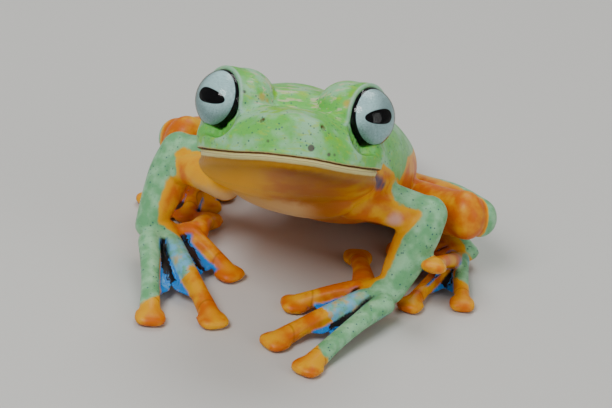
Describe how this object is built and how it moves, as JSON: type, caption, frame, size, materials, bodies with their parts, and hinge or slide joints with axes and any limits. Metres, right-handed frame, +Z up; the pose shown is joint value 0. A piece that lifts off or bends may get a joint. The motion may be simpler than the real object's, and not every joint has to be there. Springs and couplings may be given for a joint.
{
  "type": "reinwardts flying frog",
  "caption": "Life-size tree frog crouched on four feet with its head raised, broad flat head, bulging eyes, webbed hands and feet with round toe discs",
  "frame": {"origin": "middle of the object's box in X and Y, on the floor under the feet", "axes": "the head looks along -Y, the frog's left side is +X, up is +Z"},
  "size_m": [0.0426, 0.0558, 0.0294],
  "materials": {
    "green_skin": "moist satin skin, mint green with small dark specks",
    "orange_skin": "moist satin skin, orange to yellow with blue and black webs",
    "eye": "glossy silvery white iris with a black horizontal pupil"
  },
  "bodies": {
    "root": {"head": "green_skin", "lower_jaw": "orange_skin", "eye_left": "eye", "eye_right": "eye", "torso": "green_skin", "upper_arm_left": "green_skin", "forearm_left": "green_skin", "hand_left": "orange_skin", "thigh_left": "orange_skin", "shin_left": "green_skin", "tarsus_left": "green_skin", "foot_left": "orange_skin", "upper_arm_right": "green_skin", "forearm_right": "green_skin", "hand_right": "orange_skin", "thigh_right": "orange_skin", "shin_right": "green_skin", "tarsus_right": "green_skin", "foot_right": "orange_skin"}
  },
  "joints": []
}
